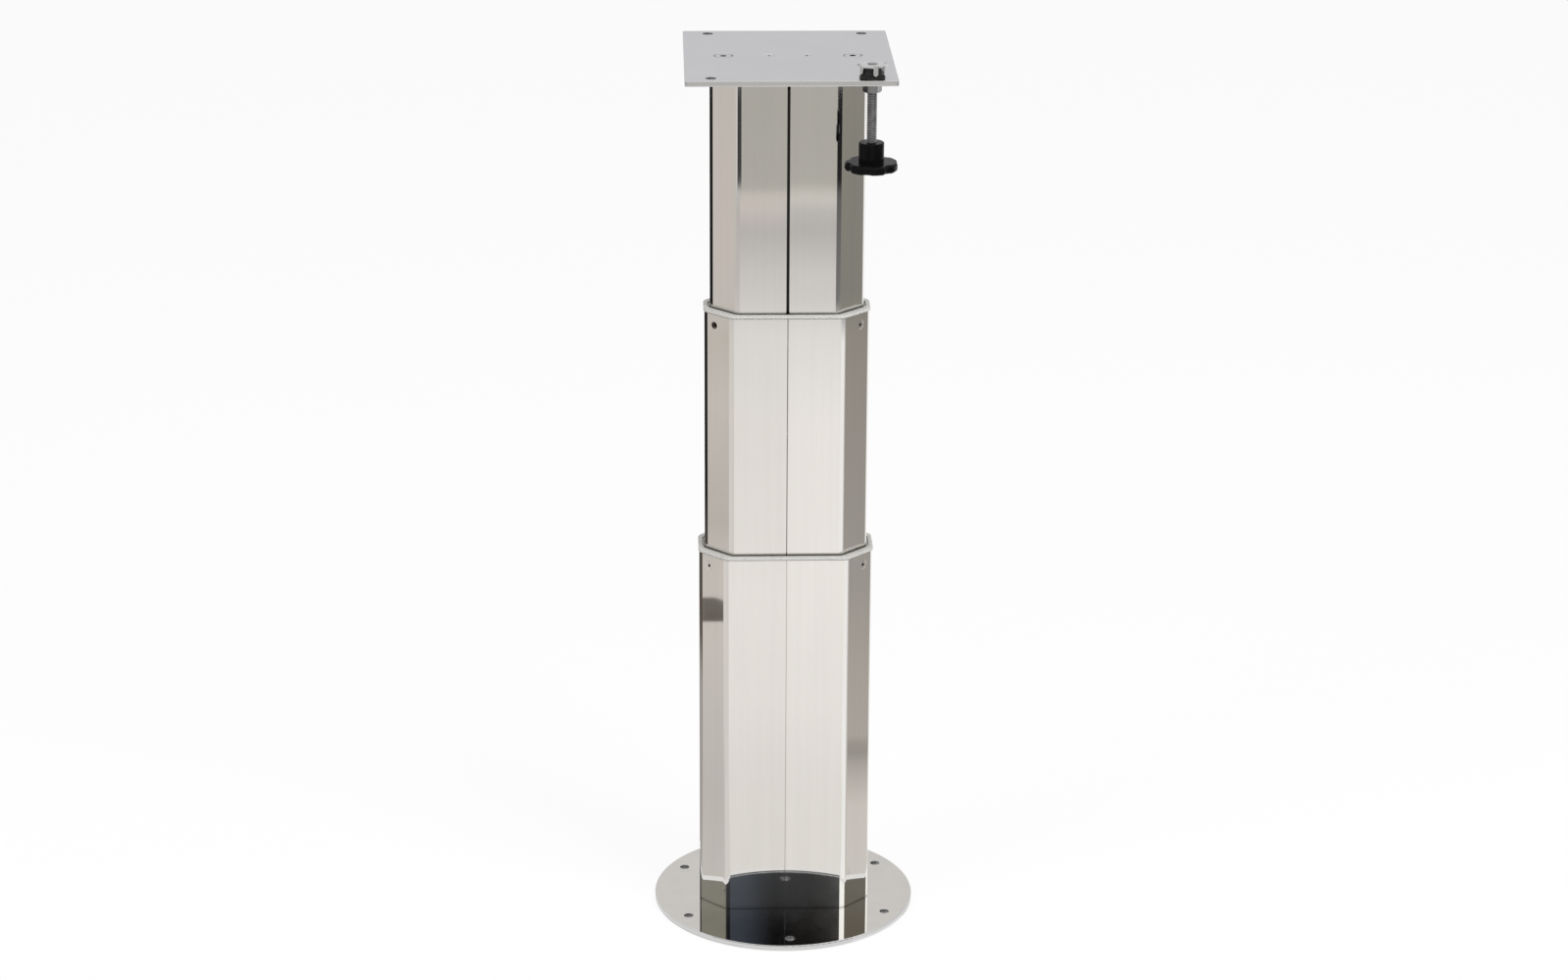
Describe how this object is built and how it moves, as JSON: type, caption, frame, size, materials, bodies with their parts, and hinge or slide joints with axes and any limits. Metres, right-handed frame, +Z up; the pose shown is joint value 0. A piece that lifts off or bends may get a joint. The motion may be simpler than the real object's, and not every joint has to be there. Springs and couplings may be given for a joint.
{
  "type": "height adjustable table leg",
  "caption": "Telescopic pedestal table leg: nested polished steel stages on a round base plate, rectangular top plate and a lobed hand screw for fixing the table top.",
  "frame": {"origin": "centre of the base plate's underside", "axes": "+Z up along the column, +X to the right seen from the front, front on the -Y side"},
  "size_m": [0.22, 0.22, 0.7476],
  "materials": {
    "polished_steel": "mirror polished",
    "satin_steel": "fine satin",
    "zinc_steel": "zinc plated",
    "fastener_steel": "bright plated",
    "dark_steel": "black oxide",
    "glide_plastic": "light grey, moulded",
    "black_paint": "satin black",
    "rod_chrome": "hard chrome",
    "spring_inner": "matt black",
    "knob_plastic": "gloss black",
    "black_rubber": "matt black"
  },
  "bodies": {
    "base_stage": {"base_plate": "polished_steel", "base_bracket": "zinc_steel", "base_screws": "fastener_steel", "base_screw_nuts": "fastener_steel", "lower_left_shell": "polished_steel", "lower_right_shell": "polished_steel", "lower_collar": "glide_plastic", "lower_collar_screws": "fastener_steel", "lower_spring_rod": "rod_chrome", "lower_spring_piston": "spring_inner", "lower_rod_nut": "fastener_steel"},
    "middle_stage": {"middle_left_shell": "polished_steel", "middle_right_shell": "polished_steel", "middle_collar": "glide_plastic", "middle_collar_screws": "fastener_steel", "middle_grub_screws": "dark_steel", "bridge_plate": "zinc_steel", "middle_foot_glide": "glide_plastic", "lower_spring_cylinder": "black_paint", "lower_spring_guide": "spring_inner", "lower_spring_nut": "fastener_steel", "upper_spring_cylinder": "black_paint", "upper_spring_guide": "spring_inner", "upper_spring_nut": "fastener_steel"},
    "top_stage": {"upper_left_shell": "polished_steel", "upper_right_shell": "polished_steel", "upper_seam_strips": "dark_steel", "upper_foot_glide": "glide_plastic", "top_bracket": "zinc_steel", "top_plate": "satin_steel", "plate_screws": "fastener_steel", "small_plate_screws": "fastener_steel", "plate_screw_nuts": "fastener_steel", "small_screw_nut": "fastener_steel", "upper_spring_rod": "rod_chrome", "upper_spring_piston": "spring_inner", "upper_rod_nut": "fastener_steel", "hand_screw_nut": "fastener_steel", "rubber_bush": "black_rubber", "tee_nut": "fastener_steel"},
    "hand_screw": {"hand_screw_rod": "fastener_steel", "knob": "knob_plastic"}
  },
  "joints": [
    {"name": "middle_slide", "type": "slide", "parent": "base_stage", "child": "middle_stage", "axis": [0, 0, -1], "range_m": [0, 0.19]},
    {"name": "top_slide", "type": "slide", "parent": "middle_stage", "child": "top_stage", "axis": [0, 0, -1], "range_m": [0, 0.19]},
    {"name": "hand_screw_turn", "type": "hinge", "parent": "top_stage", "child": "hand_screw", "pos_m": [0.0627, -0.0795, 0.7], "axis": [0, 0, 1], "continuous": true}
  ]
}
